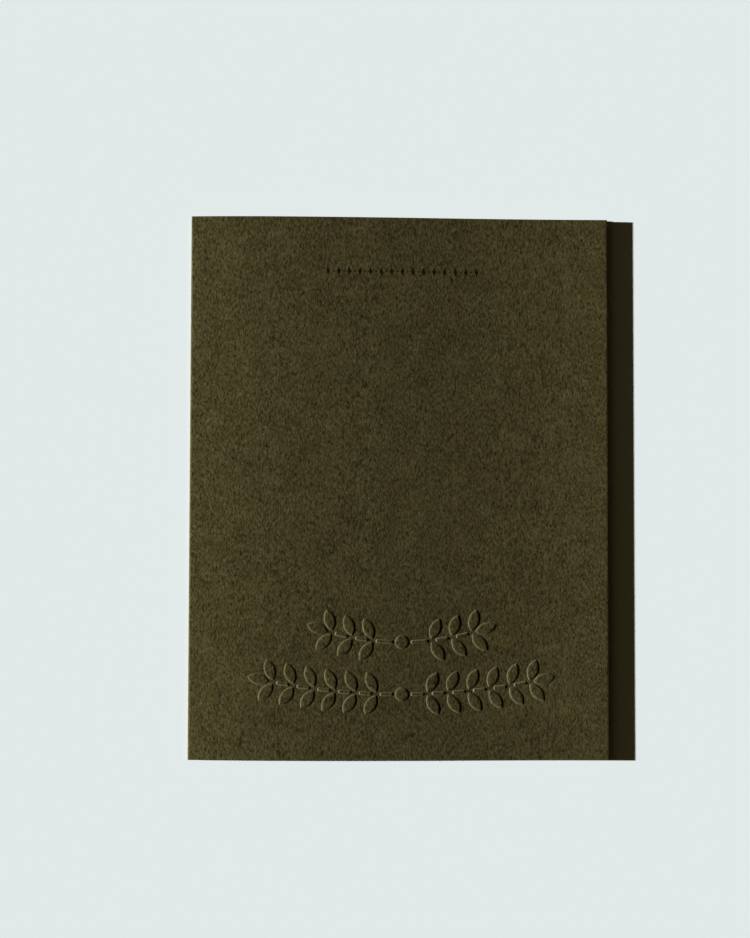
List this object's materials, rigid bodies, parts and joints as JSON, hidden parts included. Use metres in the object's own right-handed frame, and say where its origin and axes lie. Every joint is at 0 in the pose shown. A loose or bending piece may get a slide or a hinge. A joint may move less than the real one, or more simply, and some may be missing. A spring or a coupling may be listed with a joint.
{
  "type": "greeting card",
  "caption": "Folded greeting card in heavy olive card stock, held a little open by its fold, with blind-embossed leaf festoons and a small printed row on the cover.",
  "frame": {"origin": "middle of the card's box, on the surface that the back panel lies on", "axes": "+X from the fold to the free edges, +Y up the cover along the fold, +Z out of the back panel towards the cover"},
  "size_m": [0.108, 0.1396, 0.0029],
  "materials": {
    "card_stock": "uncoated, dyed through, lightly felted"
  },
  "bodies": {
    "root": {"card": "card_stock"}
  },
  "joints": []
}
